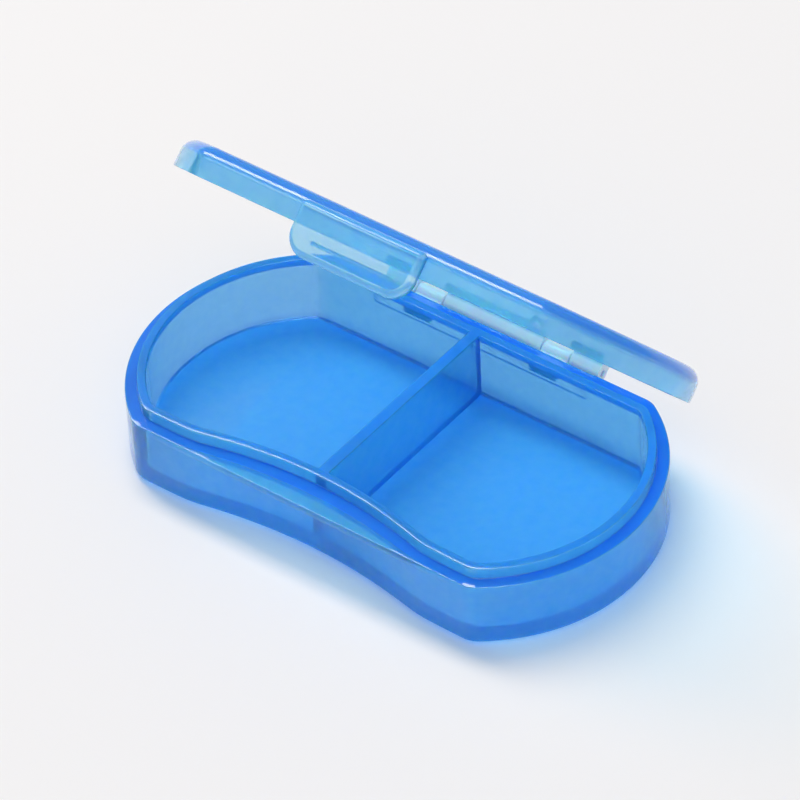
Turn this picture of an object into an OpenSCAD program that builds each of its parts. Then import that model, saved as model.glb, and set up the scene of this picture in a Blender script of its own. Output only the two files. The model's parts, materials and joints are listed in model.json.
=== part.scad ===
// Two-compartment pocket pill box with a hinged, latching lid.
// Millimetres, +Z up. Origin: centre of the footprint on the table plane.
// X runs along the box, -Y is the front (latch side), +Y the back (hinge side).

/* [Tray] */
// overall length of the box
body_l = 66; // [62:0.5:72]
// overall width, front face to back face
body_w = 36.2; // [34:0.2:40]
// height of the outer wall, table to ledge
rim_h = 8.6; // [7.5:0.1:14]
// radius of the two rounded ends
end_r = 21.2; // [20.5:0.1:23]
// how far the end arcs sit towards the front
end_dy = 0.3; // [0:0.1:1]
// radius of the four outer corners
corner_r = 3; // [2:0.25:4]
// floor thickness
floor_t = 1.2; // [0.8:0.1:2]
// thickness of the wall between the compartments
divider_t = 1.5; // [1:0.1:2.5]

/* [Rim] */
// width of the ledge the lid sits on
ledge_t = 1.45; // [1.4:0.05:2]
// width of the ledge along the hinge side
back_ledge_t = 2.3; // [2:0.1:3]
// thickness of the raised lip
lip_t = 1.05; // [0.8:0.05:1.4]
// height of the raised lip above the ledge
lip_h = 1.45; // [0.8:0.05:2]

/* [Finger waist] */
// half length of the concave front
waist_half = 16; // [14:0.5:17]
// depth of the waist in the lip and inner wall
waist_in = 2.35; // [1.5:0.05:2.6]
// depth of the waist in the outer wall
waist_out = 2; // [1.2:0.1:2.2]
// softness where the waist meets the straight front
waist_blend = 0.35; // [0.1:0.05:0.6]
// thickness of the straight shelf that bridges the waist
shelf_t = 0.9; // [0.7:0.1:1.4]

/* [Lid] */
// height of the closed lid above the ledge
lid_h = 3.9; // [3.5:0.1:5]
// thickness of the lid's top plate
lid_plate_t = 1.3; // [1:0.1:1.6]
// thickness of the lid's skirt
skirt_t = 1.15; // [0.9:0.05:1.2]
// radius of the lid's top edge
lid_edge_r = 1.9; // [1:0.1:2.2]
// gap between the closed lid and the ledge
lid_gap = 0.12; // [0.08:0.01:0.3]
// opening angle in the stored pose
lid_open = 47.5; // [0:0.5:170]

/* [Latch tab] */
// width of the tab
tab_w = 16.8; // [12:0.2:20]
// tab top, below the lid's top face
tab_top = 0.9; // [0.6:0.1:1.5]
// tab bottom, below the lid's top face
tab_drop = 7.15; // [6:0.05:8]
// how far the tab stands in front of the skirt
tab_out = 1.45; // [1.2:0.05:2]
// radius of the tab's lower corners
tab_r = 3; // [1:0.25:3.5]
// gap between the tab and the edge of the shelf
tab_gap = 0.3; // [0.2:0.05:0.4]
// radius of the catch bead inside the tab
bead_r = 0.5; // [0.4:0.05:0.6]

/* [Hinge] */
// pin radius
pin_r = 0.4; // [0.35:0.05:0.6]
// running clearance in the lid's knuckles
pin_play = 0.05; // [0.02:0.01:0.09]
// outer radius of the knuckles
knuckle_r = 1; // [0.9:0.05:1.3]
// hinge axis behind the back face
axis_back = 1.5; // [1.2:0.1:2]
// hinge axis below the ledge
axis_drop = 0.95; // [0.6:0.05:1.4]
// half length of the whole barrel
hinge_half = 15; // [12:0.5:16]
// inner edge of each tray knuckle from the hinge centre
knuckle_in = 7.05; // [5:0.05:8]
// outer edge of each tray knuckle from the hinge centre
knuckle_out = 10.75; // [9:0.05:11.5]
// side gap between neighbouring knuckles
knuckle_gap = 0.2; // [0.1:0.05:0.4]
// hinge centre along X
hinge_x = -0.6; // [-1:0.1:1]
// depth of the shallow recess behind the hinge
recess_d = 0.35; // [0.2:0.05:0.6]

/* [Hidden] */
half_w = body_w / 2;
end_cx = body_l / 2 - end_r;
inner_d = ledge_t + lip_t;
inner_db = back_ledge_t + lip_t;
inner_corner_r = 1.6;
lip_top = rim_h + lip_h;
lid_low = rim_h + lid_gap;
lid_top = rim_h + lid_h;
lid_under = lid_top - lid_plate_t;
axis_y = half_w + axis_back;
axis_z = rim_h - axis_drop;
barrel_len = 2 * hinge_half;
tray_bore_r = pin_r - 0.01;
lid_bore_r = pin_r + pin_play;
pin_len = barrel_len - 0.4;
root = 0.5;
arc_steps = 44;
corner_steps = 6;
waist_steps = 36;
foot_r = 0.9;
layer = 0.01;
eps = 0.01;
$fn = 64;

// smooth waist profile: depth at x for a waist of depth d, about zero outside it
function waist_u(x, d) = d * (1 - (x / waist_half) * (x / waist_half));
function waist(x, d) = (waist_u(x, d) + sqrt(pow(waist_u(x, d), 2) + pow(waist_blend, 2))) / 2;

// centre of a corner radius cr in an outline inset by d, whose straight side is at y
function corner_x(d, cr, y) = end_cx + sqrt(pow(end_r - d - cr, 2) - pow(y + end_dy, 2));
function corner_a(d, cr, y) = atan2(y + end_dy, corner_x(d, cr, y) - end_cx);

// right half of the box outline, front to back, inset by d (db at the back)
function right_side(d, db, cr) =
    let (yf = -half_w + d + cr, yb = half_w - db - cr)
    let (xf = corner_x(d, cr, yf), xb = corner_x(d, cr, yb))
    let (af = corner_a(d, cr, yf), ab = corner_a(d, cr, yb))
    concat(
        [for (i = [0 : corner_steps])
            let (a = -90 + (af + 90) * i / corner_steps)
            [xf + cr * cos(a), yf + cr * sin(a)]],
        [for (i = [1 : arc_steps - 1])
            let (a = af + (ab - af) * i / arc_steps)
            [end_cx + (end_r - d) * cos(a), -end_dy + (end_r - d) * sin(a)]],
        [for (i = [0 : corner_steps])
            let (a = ab + (90 - ab) * i / corner_steps)
            [xb + cr * cos(a), yb + cr * sin(a)]]);

function flipped(p) = [for (i = [len(p) - 1 : -1 : 0]) [-p[i][0], p[i][1]]];

// the front line with the waist in it, left to right
function front_line(d, depth) =
    [for (i = [0 : waist_steps])
        let (x = -waist_half * 1.12 + waist_half * 2.24 * i / waist_steps)
        [x, -half_w + d + waist(x, depth)]];

module plain_outline(d, db, cr)
{
    p = right_side(d, db, cr);
    polygon(concat(p, flipped(p)));
}

module waisted_outline(d, db, cr, depth)
{
    p = right_side(d, db, cr);
    polygon(concat(p, flipped(p), front_line(d, depth)));
}

// a bar along X at the hinge, between two distances from the hinge centre
module along_hinge(x0, x1)
{
    translate([hinge_x + x0, axis_y, axis_z])
        rotate([90, 0, 90])
            linear_extrude(x1 - x0)
                children();
}

module barrel(x0, x1, r)
{
    translate([hinge_x + x0, axis_y, axis_z])
        rotate([0, 90, 0])
            cylinder(r = r, h = x1 - x0);
}

// ---------------------------------------------------------------- tray
module tray_shell()
{
    hull()
    {
        linear_extrude(layer)
            plain_outline(foot_r, foot_r, corner_r);
        translate([0, 0, foot_r * 0.29])
            linear_extrude(layer)
                plain_outline(foot_r * 0.29, foot_r * 0.29, corner_r);
        translate([0, 0, foot_r])
            linear_extrude(rim_h - foot_r)
                plain_outline(0, 0, corner_r);
    }
}

module tray_lip()
{
    translate([0, 0, rim_h - root])
        linear_extrude(lip_h + root)
            waisted_outline(ledge_t, back_ledge_t, corner_r - ledge_t / 2, waist_in);
}

// everything in front of the concave outer wall, below the shelf
module waist_space()
{
    far = half_w + 10;
    translate([0, 0, -1])
        linear_extrude(rim_h - shelf_t + 1)
            polygon(concat(
                front_line(0, waist_out),
                [[waist_half * 1.12, -far], [-waist_half * 1.12, -far]]));
}

module compartments()
{
    difference()
    {
        translate([0, 0, floor_t])
            linear_extrude(lip_top)
                waisted_outline(inner_d, inner_db, inner_corner_r, waist_in);
        translate([-divider_t / 2, -half_w, 0])
            cube([divider_t, body_w, lip_top]);
    }
}

module hinge_recess()
{
    translate([hinge_x - hinge_half, half_w - recess_d, axis_z - knuckle_r - root])
        cube([barrel_len, recess_d + 1, rim_h]);
}

// web and barrel of one tray knuckle
module tray_knuckle(x0, x1)
{
    barrel(x0, x1, knuckle_r);
    along_hinge(x0, x1)
        translate([-axis_back - recess_d - root, -knuckle_r])
            square([axis_back + recess_d + root, knuckle_r + pin_r]);
}

module tray()
{
    color([0.18, 0.52, 0.90, 0.75])
    difference()
    {
        union()
        {
            difference()
            {
                union()
                {
                    tray_shell();
                    tray_lip();
                }
                waist_space();
                compartments();
                hinge_recess();
            }
            tray_knuckle(knuckle_in, knuckle_out);
            tray_knuckle(-knuckle_out, -knuckle_in);
        }
        barrel(-hinge_half, hinge_half, tray_bore_r);
    }
}

// ---------------------------------------------------------------- lid
module lid_shell()
{
    hull()
    {
        translate([0, 0, lid_low])
            linear_extrude(lid_h - lid_gap - lid_edge_r)
                plain_outline(0, 0, corner_r);
        for (a = [22.5 : 22.5 : 90])
            translate([0, 0, lid_top - lid_edge_r + lid_edge_r * sin(a) - layer])
                linear_extrude(layer)
                    plain_outline(lid_edge_r * (1 - cos(a)), lid_edge_r * (1 - cos(a)), corner_r);
    }
}

module lid_hollow()
{
    translate([0, 0, lid_low - 1])
        linear_extrude(lid_under - lid_low + 1)
            plain_outline(skirt_t, skirt_t, corner_r - skirt_t / 2);
}

// flat tongue seen from the front, lower corners rounded
module tab_shape()
{
    h = tab_drop - tab_top;
    translate([-tab_w / 2, -tab_drop + tab_r])
        square([tab_w, h - tab_r]);
    translate([-tab_w / 2 + tab_r, -tab_drop])
        square([tab_w - 2 * tab_r, h]);
    translate([-tab_w / 2 + tab_r, -tab_drop + tab_r])
        circle(tab_r);
    translate([tab_w / 2 - tab_r, -tab_drop + tab_r])
        circle(tab_r);
}

module lid_tab()
{
    bead_len = tab_w - 2 * tab_r;
    bead_z = rim_h - shelf_t - bead_r - lid_gap;
    bead_y = -half_w - 0.05 - bead_r;
    difference()
    {
        translate([0, -half_w + skirt_t, lid_top])
            rotate([90, 0, 0])
                linear_extrude(tab_out + skirt_t)
                    tab_shape();
        translate([-tab_w, -half_w - tab_gap, lid_low - 10])
            cube([2 * tab_w, tab_gap + skirt_t + 1, 10]);
        lid_hollow();
    }
    translate([-bead_len / 2, bead_y, bead_z])
        rotate([0, 90, 0])
            cylinder(r = bead_r, h = bead_len);
}

// arm and barrel of one lid knuckle, drawn with the lid closed
module lid_knuckle(x0, x1)
{
    rise = lid_low - axis_z;
    barrel(x0, x1, knuckle_r);
    along_hinge(x0, x1)
        polygon([
            [-axis_back - skirt_t / 2, rise],
            [-knuckle_r, rise],
            [-knuckle_r, 0],
            [knuckle_r, 0],
            [knuckle_r, knuckle_r],
            [-axis_back + root, rise + knuckle_r + root],
            [-axis_back - skirt_t / 2, rise + knuckle_r + root]]);
}

module lid_closed()
{
    difference()
    {
        union()
        {
            difference()
            {
                lid_shell();
                lid_hollow();
            }
            lid_tab();
            lid_knuckle(-knuckle_in + knuckle_gap, knuckle_in - knuckle_gap);
            lid_knuckle(knuckle_out + knuckle_gap, hinge_half);
            lid_knuckle(-hinge_half, -knuckle_out - knuckle_gap);
        }
        barrel(-hinge_half, hinge_half, lid_bore_r);
    }
}

module lid()
{
    color([0.30, 0.62, 0.93, 0.75])
    translate([0, axis_y, axis_z])
        rotate([-lid_open, 0, 0])
            translate([0, -axis_y, -axis_z])
                lid_closed();
}

// ---------------------------------------------------------------- pin
module hinge_pin()
{
    color([0.72, 0.74, 0.76])
    translate([hinge_x - pin_len / 2, axis_y, axis_z])
        rotate([0, 90, 0])
            cylinder(r = pin_r, h = pin_len);
}

tray();
lid();
hinge_pin();
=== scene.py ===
"""Pocket pill box: a waisted tray with two compartments, a hinged lid with a latch tab, and a wire hinge pin.

Everything is in metres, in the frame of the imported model. The lid is modelled closed and then swung
open about the hinge, so that it meets the tray when the hinge closes.
"""

import json
import math

import bmesh
import bpy
from mathutils import Matrix, Vector


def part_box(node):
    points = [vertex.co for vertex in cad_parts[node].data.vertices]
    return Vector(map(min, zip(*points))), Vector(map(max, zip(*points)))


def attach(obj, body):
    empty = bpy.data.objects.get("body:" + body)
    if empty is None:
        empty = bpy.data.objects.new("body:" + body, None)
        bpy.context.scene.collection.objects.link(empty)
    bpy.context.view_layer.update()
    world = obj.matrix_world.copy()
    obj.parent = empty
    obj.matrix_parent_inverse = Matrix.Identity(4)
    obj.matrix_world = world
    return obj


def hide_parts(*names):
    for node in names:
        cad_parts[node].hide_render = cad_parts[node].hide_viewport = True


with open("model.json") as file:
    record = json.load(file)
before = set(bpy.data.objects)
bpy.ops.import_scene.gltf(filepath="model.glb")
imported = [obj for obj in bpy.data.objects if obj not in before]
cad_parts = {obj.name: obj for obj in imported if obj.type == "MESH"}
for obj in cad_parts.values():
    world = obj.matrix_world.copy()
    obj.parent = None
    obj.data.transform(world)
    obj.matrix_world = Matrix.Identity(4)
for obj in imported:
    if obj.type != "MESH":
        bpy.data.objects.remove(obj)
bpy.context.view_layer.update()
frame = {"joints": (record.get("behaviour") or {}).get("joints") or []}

MM = 0.001

# ---------------------------------------------------------------- sizes taken from the frame
tray_low, tray_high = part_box("tray")
pin_low, pin_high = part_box("hinge_pin")
hinge = frame["joints"][0]

HALF_L = (tray_high[0] - tray_low[0]) / 2
HALF_W = -tray_low[1]
LIP_TOP = tray_high[2]
AXIS_Y = (pin_low[1] + pin_high[1]) / 2
AXIS_Z = (pin_low[2] + pin_high[2]) / 2
HINGE_X = (pin_low[0] + pin_high[0]) / 2
PIN_HALF = (pin_high[0] - pin_low[0]) / 2
PIN_R = (pin_high[2] - pin_low[2]) / 2

# ---------------------------------------------------------------- sizes of the mouldings
END_R = 21.2 * MM
END_X = HALF_L - END_R
END_DY = 0.3 * MM
CORNER_R = 3.0 * MM
LIP_H = 1.45 * MM
RIM_H = LIP_TOP - LIP_H
FLOOR_T = 1.2 * MM
FOOT_R = 0.9 * MM
LEDGE = 1.45 * MM
BACK_LEDGE = 2.3 * MM
LIP_T = 1.05 * MM
LIP_CORNER = 1.6 * MM
DIVIDER_T = 1.5 * MM
WAIST_HALF = 16.0 * MM
WAIST_IN = 2.35 * MM
WAIST_OUT = 2.0 * MM
WAIST_BLEND = 0.35 * MM
SHELF_T = 0.9 * MM
SHELF_LAP = 0.16 * MM
SHELF_PROUD = 0.005 * MM
WELL_R = 0.5 * MM

LID_H = 3.9 * MM
LID_GAP = 0.12 * MM
PLATE_T = 1.3 * MM
LID_LOW = RIM_H + LID_GAP
LID_TOP = RIM_H + LID_H
LID_UNDER = LID_TOP - PLATE_T
SKIRT_T = 1.15 * MM
LID_EDGE_R = 1.9 * MM

TAB_HALF = 8.4 * MM
TAB_TOP = LID_TOP - 0.9 * MM
TAB_LOW = LID_TOP - 7.15 * MM
TAB_OUT = 1.45 * MM
TAB_GAP = 0.3 * MM
TAB_R = 3.0 * MM
TAB_RIM_R = 0.9 * MM
BEAD_R = 0.22 * MM
BEAD_GAP = 0.05 * MM

KNUCKLE_R = 1.0 * MM
KNUCKLE_IN = 7.05 * MM
KNUCKLE_OUT = 10.75 * MM
KNUCKLE_GAP = 0.2 * MM
BARREL_HALF = PIN_HALF + 0.2 * MM
RECESS = 0.2 * MM
ROOT = 0.5 * MM
BORE_PLAY = 0.05 * MM
BARREL_EASE = 0.08 * MM
WIRE_SLACK = 0.004 * MM
CLEAR_OF_ALL = 5 * MM
TABLE_GAP = 0.06 * MM
NEAR = 1e-7

CORNER_STEPS = 8
END_STEPS = 60
FRONT_CUTS = 79
BACK_CUTS = 19


def waist(x, depth):
    """How far the waisted front lies behind the straight one at x."""
    u = depth * (1 - (x / WAIST_HALF) ** 2)
    return (u + math.sqrt(u * u + WAIST_BLEND**2)) / 2


# ---------------------------------------------------------------- mesh helpers
def loop_edges(verts):
    """Edges that join the vertices, in an order that is the same in every run."""
    inside = set(verts)
    touching = dict.fromkeys(e for v in verts for e in v.link_edges)
    return [e for e in touching if all(v in inside for v in e.verts)]


def only_verts(geom):
    return [g for g in geom if isinstance(g, bmesh.types.BMVert)]


def fresh(bm, others):
    """Vertices made since others was taken."""
    return [v for v in bm.verts if v not in others]


def stepped(bm, start, step, count):
    """A straight run of edges from a vertex. Returns its last vertex."""
    made = bmesh.ops.spin(bm, geom=[start], cent=(0, 0, 0), axis=(0, 0, 1), dvec=step, angle=0, steps=count)
    return only_verts(made["geom_last"])[0]


def outline(bm, z, inset=0.0, back_inset=None, corner=CORNER_R, dip=0.0):
    """A closed loop of edges at height z: the box's outline, inset from its outer wall.

    Returns the loop's vertices.
    """
    back_inset = inset if back_inset is None else back_inset
    front_y = -HALF_W + inset
    back_y = HALF_W - back_inset
    r = END_R - inset
    fy, by = front_y + corner, back_y - corner
    fx = END_X + math.sqrt((r - corner) ** 2 - (fy + END_DY) ** 2)
    bx = END_X + math.sqrt((r - corner) ** 2 - (by + END_DY) ** 2)
    fa = math.atan2(fy + END_DY, fx - END_X)
    ba = math.atan2(by + END_DY, bx - END_X)
    others = set(bm.verts)
    last = bm.verts.new((fx, front_y, z))
    for centre, angle, steps in (
        ((fx, fy, z), math.pi / 2 + fa, CORNER_STEPS),
        ((END_X, -END_DY, z), ba - fa, END_STEPS),
        ((bx, by, z), math.pi / 2 - ba, CORNER_STEPS),
    ):
        made = bmesh.ops.spin(bm, geom=[last], cent=centre, axis=(0, 0, 1), angle=angle, steps=steps)
        last = only_verts(made["geom_last"])[0]
    side = fresh(bm, others)
    twin = bmesh.ops.duplicate(bm, geom=side + loop_edges(side))
    bmesh.ops.scale(bm, vec=(-1, 1, 1), verts=only_verts(twin["geom"]))
    for x, y, cuts in ((fx, front_y, FRONT_CUTS), (bx, back_y, BACK_CUTS)):
        left, right = [min(fresh(bm, others), key=lambda v: (v.co - Vector((at, y, z))).length)
                       for at in (-x, x)]
        end = stepped(bm, left, (2 * x / (cuts + 1), 0, 0), cuts)
        bm.edges.new((end, right))
    loop = fresh(bm, others)
    if dip:
        for v in loop:
            if abs(v.co.y - front_y) < NEAR:
                v.co.y += waist(v.co.x, dip)
    return loop


def raised(bm, loop, dz):
    """Extrudes a loop up or down. Returns the new loop, in the same order."""
    made = bmesh.ops.extrude_edge_only(bm, edges=loop_edges(loop))
    at = {v.co.to_tuple(9): v for v in only_verts(made["geom"])}
    new = [at[v.co.to_tuple(9)] for v in loop]
    bmesh.ops.translate(bm, vec=(0, 0, dz), verts=new)
    return new


def drawn_in(bm, loop, z, **shape):
    """Extrudes a loop onto another outline of the box."""
    pattern = bmesh.new()
    spots = [v.co.copy() for v in outline(pattern, z, **shape)]
    pattern.free()
    new = raised(bm, loop, 0)
    for v, spot in zip(new, spots):
        v.co = spot
    return new


def capped(bm, loop):
    bmesh.ops.edgeloop_fill(bm, edges=loop_edges(loop))


def eased(bm, edges, size, steps=2):
    """Rounds edges."""
    bmesh.ops.bevel(bm, geom=list(edges), offset=size, offset_type="OFFSET", segments=steps,
                    profile=0.5, affect="EDGES", clamp_overlap=False, material=-1)


def block(bm, low, high, ease=0.0, steps=2):
    """A closed block between two corners, its edges eased."""
    made = bmesh.ops.create_cube(bm, size=1)
    verts = made["verts"]
    low, high = Vector(low), Vector(high)
    bmesh.ops.scale(bm, vec=high - low, verts=verts)
    bmesh.ops.translate(bm, vec=(low + high) / 2, verts=verts)
    if ease:
        eased(bm, loop_edges(verts), ease, steps)


def rod(bm, x0, x1, r, y, z, ease=0.0, sides=48):
    """A closed round bar along X."""
    made = bmesh.ops.create_cone(bm, cap_ends=True, segments=sides, radius1=r, radius2=r, depth=x1 - x0)
    verts = made["verts"]
    bmesh.ops.rotate(bm, cent=(0, 0, 0), matrix=Matrix.Rotation(math.pi / 2, 3, "Y"), verts=verts)
    bmesh.ops.translate(bm, vec=((x0 + x1) / 2, y, z), verts=verts)
    if ease:
        rims = [e for e in loop_edges(verts) if abs(e.verts[0].co.x - e.verts[1].co.x) < NEAR]
        eased(bm, rims, ease, 2)


def prism(bm, x0, x1, corners, ease=0.0):
    """A closed bar along X with the given section, as (y, z) corners."""
    verts = [bm.verts.new((x0, y, z)) for y, z in corners]
    face = bm.faces.new(verts)
    made = bmesh.ops.extrude_face_region(bm, geom=[face])
    far = only_verts(made["geom"])
    bmesh.ops.translate(bm, vec=(x1 - x0, 0, 0), verts=far)
    if ease:
        eased(bm, loop_edges(verts + far), ease)


def solid(name, build):
    """A mesh object made by build(bm), normals outward."""
    bm = bmesh.new()
    build(bm)
    bmesh.ops.remove_doubles(bm, verts=bm.verts, dist=NEAR)
    bmesh.ops.recalc_face_normals(bm, faces=bm.faces)
    mesh = bpy.data.meshes.new(name)
    bm.to_mesh(mesh)
    bm.free()
    made = bpy.data.objects.new(name, mesh)
    bpy.context.collection.objects.link(made)
    return made


def combined(body, tools):
    """Joins or cuts closed solids into body, one by one, and drops the tools."""
    for how, tool in tools:
        step = body.modifiers.new(how, "BOOLEAN")
        step.operation = how
        step.solver = "EXACT"
        step.object = tool
        seen = body.evaluated_get(bpy.context.evaluated_depsgraph_get())
        mesh = bpy.data.meshes.new_from_object(seen)
        body.modifiers.clear()
        body.data = mesh
        bpy.data.objects.remove(tool)
    return body


def in_order(parts, spot):
    """Sorts vertices or faces by place, as a join leaves them in a different order in each run."""
    for number, part in enumerate(sorted(parts, key=lambda p: spot(p).to_tuple(8))):
        part.index = number
    parts.sort()


def cleaned(piece):
    """Drops the faces without any area that a join can leave behind."""
    bm = bmesh.new()
    bm.from_mesh(piece.data)
    bmesh.ops.dissolve_degenerate(bm, dist=0.0005 * MM, edges=bm.edges)
    in_order(bm.verts, lambda v: v.co)
    in_order(bm.faces, lambda f: f.calc_center_median())
    bm.to_mesh(piece.data)
    bm.free()


def finished(piece, material, sharp=25.0):
    """Soft shading with crisp edges, and the material."""
    cleaned(piece)
    mesh = piece.data
    mesh.materials.clear()
    mesh.materials.append(material)
    for face in mesh.polygons:
        face.use_smooth = True
        face.material_index = 0
    mesh.set_sharp_from_angle(angle=math.radians(sharp))
    even = piece.modifiers.new("even_normals", "WEIGHTED_NORMAL")
    even.keep_sharp = True
    even.weight = 60
    return piece


def with_painted_shade(piece, painted_shade_at):
    """Stores, for each vertex, how deep a painted shade it gets, as 0 to 1: the painted shade stands in for how
    long a way through the plastic the eye looks there.
    """
    layer = piece.data.attributes.new("deep", "FLOAT", "POINT")
    for vert, mark in zip(piece.data.vertices, layer.data):
        mark.value = painted_shade_at(vert.co)
    return piece


# ---------------------------------------------------------------- tray
# Painted shade: how much deeper in colour the ledge, lip, divider, foot and floor of the tray are painted.
PAINTED_SHADE_LIP = 0.55
PAINTED_SHADE_FOOT = 0.35
PAINTED_SHADE_FLOOR = 0.18
PAINTED_SHADE_LEDGE = 1.0


def tray_painted_shade(at):
    """Painted shade: the ledge, lip, divider and foot are painted deeper in colour than the walls, and the
    floor a little.
    """
    near = 0.04 * MM
    if at.z > LIP_TOP - near:
        return PAINTED_SHADE_LIP
    if at.z < 0.85 * FOOT_R:
        return PAINTED_SHADE_FOOT
    if abs(at.z - FLOOR_T) < near:
        return PAINTED_SHADE_FLOOR
    on_shelf = at.z > RIM_H + 0.002 * MM or at.y < -HALF_W + waist(at.x, WAIST_OUT) + near
    return 0.0 if on_shelf or abs(at.z - RIM_H) > near else PAINTED_SHADE_LEDGE


def tray_body(bm):
    foot = outline(bm, 0, dip=WAIST_OUT)
    capped(bm, foot)
    rim = raised(bm, foot, RIM_H)
    lip_foot = drawn_in(bm, rim, RIM_H, inset=LEDGE, back_inset=BACK_LEDGE,
                        corner=CORNER_R - LEDGE / 2, dip=WAIST_IN)
    lip_out = raised(bm, lip_foot, LIP_H)
    lip_in = drawn_in(bm, lip_out, LIP_TOP, inset=LEDGE + LIP_T, back_inset=BACK_LEDGE + LIP_T,
                      corner=LIP_CORNER, dip=WAIST_IN)
    well = raised(bm, lip_in, FLOOR_T - LIP_TOP)
    capped(bm, well)
    bmesh.ops.recalc_face_normals(bm, faces=bm.faces)
    edges = [loop_edges(v) for v in (foot, rim, lip_out, lip_in, well, lip_foot)]
    sizes = (FOOT_R, 0.14 * MM, 0.16 * MM, 0.16 * MM, WELL_R, 0.08 * MM)
    for line, size, steps in zip(edges, sizes, (5, 2, 2, 2, 3, 1)):
        eased(bm, line, size, steps)


def shelf_body(bm):
    """The straight shelf over the waist, let into the wall behind it."""
    span = WAIST_HALF * 1.3
    stepped(bm, bm.verts.new((-span, -HALF_W, 0)), (2 * span / FRONT_CUTS, 0, 0), FRONT_CUTS)
    made = bmesh.ops.extrude_edge_only(bm, edges=bm.edges[:])
    for v in only_verts(made["geom"]):
        v.co.y += waist(v.co.x, WAIST_OUT) + SHELF_LAP
    made = bmesh.ops.extrude_face_region(bm, geom=bm.faces[:])
    upper = only_verts(made["geom"])
    bmesh.ops.translate(bm, vec=(0, 0, SHELF_T + SHELF_PROUD), verts=upper)
    bmesh.ops.translate(bm, vec=(0, 0, RIM_H - SHELF_T), verts=bm.verts)
    bmesh.ops.recalc_face_normals(bm, faces=bm.faces)
    lips = [e for e in bm.edges if all(abs(v.co.y + HALF_W) < 1e-6 for v in e.verts)
            and abs(e.verts[0].co.z - e.verts[1].co.z) < 1e-6]
    eased(bm, lips, 0.13 * MM)


def tray_knuckle(bm, x0, x1):
    low = AXIS_Z - KNUCKLE_R
    block(bm, (x0, HALF_W - RECESS - ROOT, low), (x1, AXIS_Y, AXIS_Z + PIN_R), 0.1 * MM)


def hinge_spans():
    """(tray knuckles, lid knuckles) as pairs of X."""
    tray = [(KNUCKLE_IN, KNUCKLE_OUT), (-KNUCKLE_OUT, -KNUCKLE_IN)]
    inner, outer = KNUCKLE_IN - KNUCKLE_GAP, KNUCKLE_OUT + KNUCKLE_GAP
    lid = [(-inner, inner), (outer, BARREL_HALF), (-BARREL_HALF, -outer)]
    return [(HINGE_X + a, HINGE_X + b) for a, b in tray], [(HINGE_X + a, HINGE_X + b) for a, b in lid]


TRAY_SPANS, LID_SPANS = hinge_spans()


def knuckle(x0, x1):
    return solid("barrel", lambda bm: rod(bm, x0, x1, KNUCKLE_R, AXIS_Y, AXIS_Z, BARREL_EASE))


def bore(r):
    """The tool that cuts the pin's hole, longer than the hinge."""
    reach = 2 * BARREL_HALF
    return solid("bore", lambda bm: rod(bm, HINGE_X - reach, HINGE_X + reach, r, AXIS_Y, AXIS_Z))


def build_tray():
    wall_y = -HALF_W + LEDGE + LIP_T / 2 + WAIST_IN
    back_y = HALF_W - BACK_LEDGE - LIP_T / 2
    tools = [
        ("UNION", solid("shelf", shelf_body)),
        ("UNION", solid("divider", lambda bm: block(
            bm, (-DIVIDER_T / 2, wall_y, FLOOR_T / 2),
            (DIVIDER_T / 2, back_y, LIP_TOP - 0.03 * MM), 0.14 * MM))),
        ("DIFFERENCE", solid("recess", lambda bm: block(
            bm, (HINGE_X - BARREL_HALF, HALF_W - RECESS, AXIS_Z - KNUCKLE_R - ROOT),
            (HINGE_X + BARREL_HALF, HALF_W + CLEAR_OF_ALL, LIP_TOP + CLEAR_OF_ALL)))),
    ]
    for x0, x1 in TRAY_SPANS:
        tools.append(("UNION", solid("web", lambda bm: tray_knuckle(bm, x0, x1))))
        tools.append(("UNION", knuckle(x0, x1)))
    tools.append(("DIFFERENCE", bore(PIN_R)))
    return with_painted_shade(combined(solid("pill_tray", tray_body), tools), tray_painted_shade)


# ---------------------------------------------------------------- lid
# Painted shade: how much deeper in colour the lid's rounded edge and the tab's top are painted.
PAINTED_SHADE_EDGE_LOW = 0.5
PAINTED_SHADE_EDGE = 0.8
PAINTED_SHADE_TAB_TOP = 0.5


def lid_painted_shade(at):
    """Painted shade: the lid's plate is painted deeper in colour along its rounded edge, where it's seen end
    on, a little less low on the edge, and the tab's top is painted deeper too.
    """
    up = (at.z - LID_TOP) / LID_EDGE_R + 1
    if at.y < -HALF_W - 0.02 * MM:
        return PAINTED_SHADE_TAB_TOP if at.z > TAB_TOP - 0.6 * MM else 0.0
    if up < 0.2 or up > 0.985:
        return 0.0
    return PAINTED_SHADE_EDGE_LOW if up < 0.4 else PAINTED_SHADE_EDGE


def lid_body(bm):
    top = outline(bm, LID_TOP)
    capped(bm, top)
    low = raised(bm, top, LID_LOW - LID_TOP)
    inner_low = drawn_in(bm, low, LID_LOW, inset=SKIRT_T, corner=CORNER_R - SKIRT_T / 2)
    inner_top = raised(bm, inner_low, LID_UNDER - LID_LOW)
    capped(bm, inner_top)
    bmesh.ops.recalc_face_normals(bm, faces=bm.faces)
    edges = [loop_edges(v) for v in (top, low, inner_low, inner_top)]
    for line, size, steps in zip(edges, (LID_EDGE_R, 0.15 * MM, 0.15 * MM, 0.55 * MM), (9, 2, 2, 4)):
        eased(bm, line, size, steps)


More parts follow.
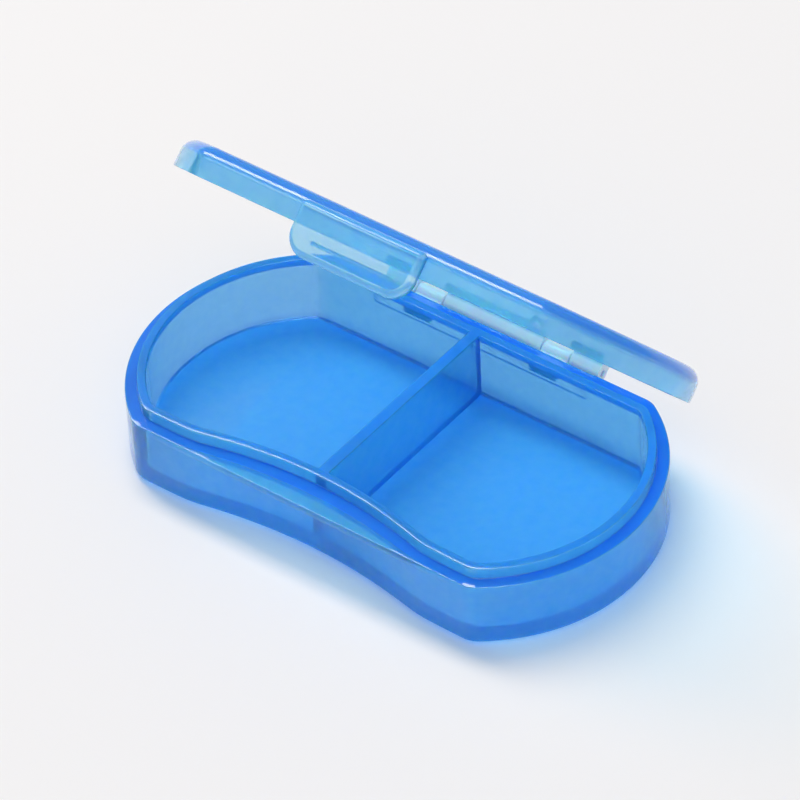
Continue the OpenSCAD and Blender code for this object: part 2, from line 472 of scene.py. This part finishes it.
def tongue(bm):
    """The tab's plate: lower corners round, every front edge eased."""
    made = bmesh.ops.create_grid(bm, x_segments=1, y_segments=1, size=1)
    verts = made["verts"]
    bmesh.ops.rotate(bm, cent=(0, 0, 0), matrix=Matrix.Rotation(math.pi / 2, 3, "X"), verts=verts)
    bmesh.ops.scale(bm, vec=(TAB_HALF, 1, (TAB_TOP - TAB_LOW) / 2), verts=verts)
    bmesh.ops.translate(bm, vec=(0, -HALF_W - TAB_OUT, (TAB_TOP + TAB_LOW) / 2), verts=verts)
    lower = [v for v in bm.verts if v.co.z < TAB_LOW + TAB_R]
    bmesh.ops.bevel(bm, geom=lower, offset=TAB_R * 0.93, offset_type="OFFSET", segments=10, profile=0.5,
                    affect="VERTICES", clamp_overlap=False, material=-1)
    upper = [v for v in bm.verts if v.co.z > TAB_TOP - 0.1 * MM]
    bmesh.ops.bevel(bm, geom=upper, offset=0.8 * MM, offset_type="OFFSET", segments=5, profile=0.5,
                    affect="VERTICES", clamp_overlap=False, material=-1)
    front = list(bm.faces)
    made = bmesh.ops.extrude_face_region(bm, geom=front)
    back = only_verts(made["geom"])
    bmesh.ops.translate(bm, vec=(0, TAB_OUT - TAB_GAP, 0), verts=back)
    bmesh.ops.recalc_face_normals(bm, faces=bm.faces)
    face_y = -HALF_W - TAB_OUT
    rim = [e for e in bm.edges if all(abs(v.co.y - face_y) < 1e-6 for v in e.verts)]
    rear = [e for e in bm.edges if all(abs(v.co.y - face_y - TAB_OUT + TAB_GAP) < 1e-6 for v in e.verts)]
    eased(bm, rim, TAB_RIM_R, 7)
    eased(bm, rear, 0.12 * MM, 2)


def lid_arm(bm, x0, x1):
    """The arm from the skirt down to one knuckle."""
    rise = LID_LOW - AXIS_Z
    root_y = HALF_W - SKIRT_T / 2
    prism(bm, x0, x1, [
        (root_y, LID_LOW),
        (AXIS_Y - KNUCKLE_R, LID_LOW),
        (AXIS_Y - KNUCKLE_R, AXIS_Z),
        (AXIS_Y + KNUCKLE_R, AXIS_Z),
        (AXIS_Y + KNUCKLE_R, AXIS_Z + KNUCKLE_R),
        (HALF_W + ROOT, AXIS_Z + rise + KNUCKLE_R + ROOT),
        (root_y, AXIS_Z + rise + KNUCKLE_R + ROOT),
    ], 0.09 * MM)


def build_lid():
    bead_half = TAB_HALF - TAB_R
    bead_y = -HALF_W - BEAD_GAP - BEAD_R
    bead_z = RIM_H - SHELF_T - BEAD_R - LID_GAP
    tools = [
        ("UNION", solid("tongue", tongue)),
        ("UNION", solid("tab_root", lambda bm: block(
            bm, (-TAB_HALF + 0.25 * MM, -HALF_W - TAB_OUT * 0.6, LID_LOW),
            (TAB_HALF - 0.25 * MM, -HALF_W + SKIRT_T * 0.6, TAB_TOP - 0.35 * MM), 0.1 * MM))),
        ("UNION", solid("bead", lambda bm: rod(bm, -bead_half, bead_half, BEAD_R, bead_y, bead_z, 0.15 * MM))),
    ]
    for x0, x1 in LID_SPANS:
        tools.append(("UNION", solid("arm", lambda bm: lid_arm(bm, x0, x1))))
        tools.append(("UNION", knuckle(x0, x1)))
    tools.append(("DIFFERENCE", bore(PIN_R + BORE_PLAY)))
    lid = with_painted_shade(combined(solid("pill_lid", lid_body), tools), lid_painted_shade)
    opening = -hinge["range_deg"][0]
    swing = Matrix.Rotation(math.radians(-opening), 4, "X")
    place = Matrix.Translation((0, AXIS_Y, AXIS_Z))
    lid.data.transform(place @ swing @ place.inverted())
    return lid


def build_pin():
    return solid("hinge_wire", lambda bm: rod(
        bm, HINGE_X - PIN_HALF, HINGE_X + PIN_HALF, PIN_R - WIRE_SLACK, AXIS_Y, AXIS_Z, 0.1 * MM))


# ---------------------------------------------------------------- materials
def graph(name):
    mat = bpy.data.materials.new(name)
    mat.use_nodes = True
    tree = mat.node_tree
    shader = tree.nodes["Principled BSDF"]
    out = tree.nodes["Material Output"]
    where = tree.nodes.new("ShaderNodeTexCoord").outputs["Object"]
    return mat, tree, shader, out, where


def noise(tree, where, scale, detail=3.0, rough=0.5, stretch=None):
    if stretch:
        mapping = tree.nodes.new("ShaderNodeMapping")
        mapping.inputs["Scale"].default_value = stretch
        tree.links.new(where, mapping.inputs["Vector"])
        where = mapping.outputs["Vector"]
    node = tree.nodes.new("ShaderNodeTexNoise")
    node.inputs["Scale"].default_value = scale
    node.inputs["Detail"].default_value = detail
    node.inputs["Roughness"].default_value = rough
    tree.links.new(where, node.inputs["Vector"])
    return node.outputs["Fac"]


def spread(tree, value, low, high):
    """Maps 0.3..0.7 of a noise onto low..high."""
    node = tree.nodes.new("ShaderNodeMapRange")
    node.inputs["From Min"].default_value = 0.3
    node.inputs["From Max"].default_value = 0.7
    node.inputs["To Min"].default_value = low
    node.inputs["To Max"].default_value = high
    tree.links.new(value, node.inputs["Value"])
    return node.outputs["Result"]


def blended(tree, factor, first, second):
    """Mixes two colours, each three numbers or another node's output."""
    node = tree.nodes.new("ShaderNodeMix")
    node.data_type = "RGBA"
    tree.links.new(factor, node.inputs[0])
    for socket, colour in ((node.inputs[6], first), (node.inputs[7], second)):
        if isinstance(colour, tuple):
            socket.default_value = (*colour, 1)
        else:
            tree.links.new(colour, socket)
    return node.outputs[2]


def tinted_plastic(name, deep, density, clear, body, painted_deep_colour, milky, shade, gloss):
    """Moulded plastic, clear with a little milk in it.

    The clear share is coloured by absorption, so that a long way through it is deeper in colour than
    a short one. The milky share scatters light in the body colour, and in a painted deeper colour,
    a painted shade, where the deep mark is high. Around the hinge axis it's pale and nearly the
    whole share. Lamps shine through in the shade colour, once for each surface they pass.
    """
    mat, tree, glass, out, where = graph(name)
    flow = noise(tree, where, 90, 3, 0.5, (1, 7, 7))
    haze = noise(tree, where, 700, 2, 0.5)
    scuff = noise(tree, where, 2600, 1, 0.5, (1, 6, 1))
    rough = spread(tree, flow, *gloss)
    bump = tree.nodes.new("ShaderNodeBump")
    bump.inputs["Strength"].default_value = 0.03
    bump.inputs["Distance"].default_value = 0.02 * MM
    tree.links.new(flow, bump.inputs["Height"])
    fine = tree.nodes.new("ShaderNodeBump")
    fine.inputs["Strength"].default_value = 0.05
    fine.inputs["Distance"].default_value = 0.01 * MM
    tree.links.new(scuff, fine.inputs["Height"])
    tree.links.new(bump.outputs["Normal"], fine.inputs["Normal"])
    milk = tree.nodes.new("ShaderNodeBsdfPrincipled")
    for shader in (glass, milk):
        tree.links.new(rough, shader.inputs["Roughness"])
        tree.links.new(fine.outputs["Normal"], shader.inputs["Normal"])
        shader.inputs["IOR"].default_value = 1.45
        shader.inputs["Specular IOR Level"].default_value = 0.8
    glass.inputs["Base Color"].default_value = (*clear, 1)
    glass.inputs["Transmission Weight"].default_value = 1.0
    hazy = (body[0] * 1.3, body[1] * 1.08, body[2])
    paint = blended(tree, spread(tree, haze, 0, 1), body, hazy)
    milk.inputs["Subsurface Weight"].default_value = 1.0
    milk.inputs["Subsurface Radius"].default_value = (0.15, 0.5, 1.0)
    milk.inputs["Subsurface Scale"].default_value = 2.5 * MM
    near = tree.nodes.new("ShaderNodeMapping")
    near.inputs["Location"].default_value = (0, -AXIS_Y, -AXIS_Z)
    near.inputs["Scale"].default_value = (0, 1, 1)
    tree.links.new(where, near.inputs["Vector"])
    reach = tree.nodes.new("ShaderNodeVectorMath")
    reach.operation = "LENGTH"
    tree.links.new(near.outputs["Vector"], reach.inputs[0])
    barrel = tree.nodes.new("ShaderNodeMapRange")
    barrel.interpolation_type = "SMOOTHSTEP"
    barrel.inputs["From Min"].default_value = KNUCKLE_R + 0.15 * MM
    barrel.inputs["From Max"].default_value = KNUCKLE_R + 0.6 * MM
    barrel.inputs["To Min"].default_value = 1
    barrel.inputs["To Max"].default_value = 0
    tree.links.new(reach.outputs["Value"], barrel.inputs["Value"])
    # Painted shade: where the deep mark is high, the milk is painted in the deeper colour and made milkier.
    painted_shade_mark = tree.nodes.new("ShaderNodeAttribute")
    painted_shade_mark.attribute_name = "deep"
    painted_end_on = blended(tree, painted_shade_mark.outputs["Fac"], paint, painted_deep_colour)
    tree.links.new(blended(tree, barrel.outputs["Result"], painted_end_on, PALE_BLUE), milk.inputs["Base Color"])
    milkier_where_painted = tree.nodes.new("ShaderNodeMath")
    milkier_where_painted.operation = "MULTIPLY_ADD"
    milkier_where_painted.inputs[1].default_value = 0.45
    milkier_where_painted.inputs[2].default_value = milky
    tree.links.new(painted_shade_mark.outputs["Fac"], milkier_where_painted.inputs[0])
    share = tree.nodes.new("ShaderNodeMapRange")
    share.inputs["To Max"].default_value = 0.92
    tree.links.new(milkier_where_painted.outputs["Value"], share.inputs["To Min"])
    tree.links.new(barrel.outputs["Result"], share.inputs["Value"])
    cloudy = tree.nodes.new("ShaderNodeMixShader")
    tree.links.new(share.outputs["Result"], cloudy.inputs[0])
    tree.links.new(glass.outputs["BSDF"], cloudy.inputs[1])
    tree.links.new(milk.outputs["BSDF"], cloudy.inputs[2])
    through = tree.nodes.new("ShaderNodeBsdfTransparent")
    through.inputs["Color"].default_value = (*shade, 1)
    ray = tree.nodes.new("ShaderNodeLightPath")
    blend = tree.nodes.new("ShaderNodeMixShader")
    tree.links.new(ray.outputs["Is Shadow Ray"], blend.inputs[0])
    tree.links.new(cloudy.outputs["Shader"], blend.inputs[1])
    tree.links.new(through.outputs["BSDF"], blend.inputs[2])
    tree.links.new(blend.outputs["Shader"], out.inputs["Surface"])
    depth = tree.nodes.new("ShaderNodeVolumeAbsorption")
    depth.inputs["Color"].default_value = (*deep, 1)
    depth.inputs["Density"].default_value = density
    tree.links.new(depth.outputs["Volume"], out.inputs["Volume"])
    return mat


def drawn_steel(name):
    mat, tree, shader, _, where = graph(name)
    lines = noise(tree, where, 3000, 4, 0.6, (0.03, 1, 1))
    tree.links.new(spread(tree, lines, 0.18, 0.36), shader.inputs["Roughness"])
    paint = blended(tree, lines, (0.62, 0.63, 0.65), (0.74, 0.75, 0.77))
    tree.links.new(paint, shader.inputs["Base Color"])
    shader.inputs["Metallic"].default_value = 1.0
    return mat


def pale_table(name):
    mat, tree, shader, _, where = graph(name)
    soft = noise(tree, where, 6, 2, 0.5)
    paint = blended(tree, soft, (0.90, 0.885, 0.885), (0.915, 0.90, 0.90))
    tree.links.new(paint, shader.inputs["Base Color"])
    shader.inputs["Roughness"].default_value = 0.55
    shader.inputs["Specular IOR Level"].default_value = 0.2
    return mat


DEEP_BLUE = (0.0, 0.75, 0.985)
CLEAR_BLUE = (0.9, 0.97, 1.0)
# Painted shade colour, used where the plastic is seen a long way end on.
PAINTED_DEEP_BLUE = (0.03, 0.26, 0.85)
PALE_BLUE = (0.93, 0.97, 1.0)
tray_plastic = tinted_plastic(
    "clear_blue_tray", DEEP_BLUE, density=330, clear=CLEAR_BLUE, body=(0.11, 0.60, 1.0),
    painted_deep_colour=PAINTED_DEEP_BLUE, milky=0.28, shade=(0.44, 0.55, 0.64), gloss=(0.06, 0.12))
lid_plastic = tinted_plastic(
    "clear_blue_lid", DEEP_BLUE, density=180, clear=CLEAR_BLUE, body=(0.16, 0.64, 1.0),
    painted_deep_colour=PAINTED_DEEP_BLUE, milky=0.3, shade=(0.78, 0.88, 0.93), gloss=(0.02, 0.045))

tray = finished(build_tray(), tray_plastic)
lid = finished(build_lid(), lid_plastic)
wire = finished(build_pin(), drawn_steel("drawn_steel"))

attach(tray, "base")
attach(wire, "base")
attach(lid, "cover")
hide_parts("tray")
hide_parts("lid")
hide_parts("hinge_pin")

# ---------------------------------------------------------------- table, light and camera
def table_top(bm):
    """A hair below the box's foot, as the box stands on the air between two surfaces that aren't quite flat."""
    bmesh.ops.create_grid(bm, x_segments=2, y_segments=2, size=3.0)
    bmesh.ops.translate(bm, vec=(0, 0, -TABLE_GAP), verts=bm.verts)


floor = solid("table", table_top)
floor.data.materials.append(pale_table("pale_table"))


def soft_light(name, place, wide, tall, power, colour):
    """A soft rectangular light that faces the box, with its wide side level and along X."""
    lamp = bpy.data.lights.new(name, "AREA")
    lamp.shape = "RECTANGLE"
    lamp.size = wide
    lamp.size_y = tall
    lamp.energy = power
    lamp.color = colour
    made = bpy.data.objects.new(name, lamp)
    bpy.context.collection.objects.link(made)
    away = Vector(place).normalized()
    across = (Vector((1, 0, 0)) - away * away.x).normalized()
    turn = Matrix((across, away.cross(across), away)).transposed().to_4x4()
    made.matrix_world = Matrix.Translation(place) @ turn


soft_light("window", (-0.78, 0.35, 1.5), wide=1.5, tall=0.45, power=21.0, colour=(1.0, 0.985, 0.97))
soft_light("fill", (0.6, -0.9, 1.1), wide=1.2, tall=1.2, power=3.5, colour=(0.96, 0.98, 1.0))

world = bpy.data.worlds.new("pale_room")
world.use_nodes = True
world.node_tree.nodes["Background"].inputs["Color"].default_value = (0.97, 0.985, 1.0, 1)
world.node_tree.nodes["Background"].inputs["Strength"].default_value = 0.37
bpy.context.scene.world = world
bpy.context.scene.view_settings.view_transform = "Standard"

VIEW_AZ = math.radians(39.07)
VIEW_EL = math.radians(41.72)
VIEW_ROLL = math.radians(-2.89)
VIEW_FAR = 0.6358
AIM = Vector((-4.01 * MM, 5.73 * MM, 4.5 * MM))

flat = math.cos(VIEW_EL)
back = Vector((math.sin(VIEW_AZ) * flat, -math.cos(VIEW_AZ) * flat, math.sin(VIEW_EL)))
level = Vector((0, 0, 1)).cross(back).normalized()
upright = back.cross(level)
right = math.cos(VIEW_ROLL) * level + math.sin(VIEW_ROLL) * upright
up = back.cross(right)
lens = bpy.data.cameras.new("camera")
lens.lens = 251.9
lens.sensor_width = 36
lens.clip_start = 0.01
camera = bpy.data.objects.new("camera", lens)
bpy.context.collection.objects.link(camera)
facing = Matrix((right, up, back)).transposed().to_4x4()
camera.matrix_world = Matrix.Translation(AIM + back * VIEW_FAR) @ facing
bpy.context.scene.camera = camera
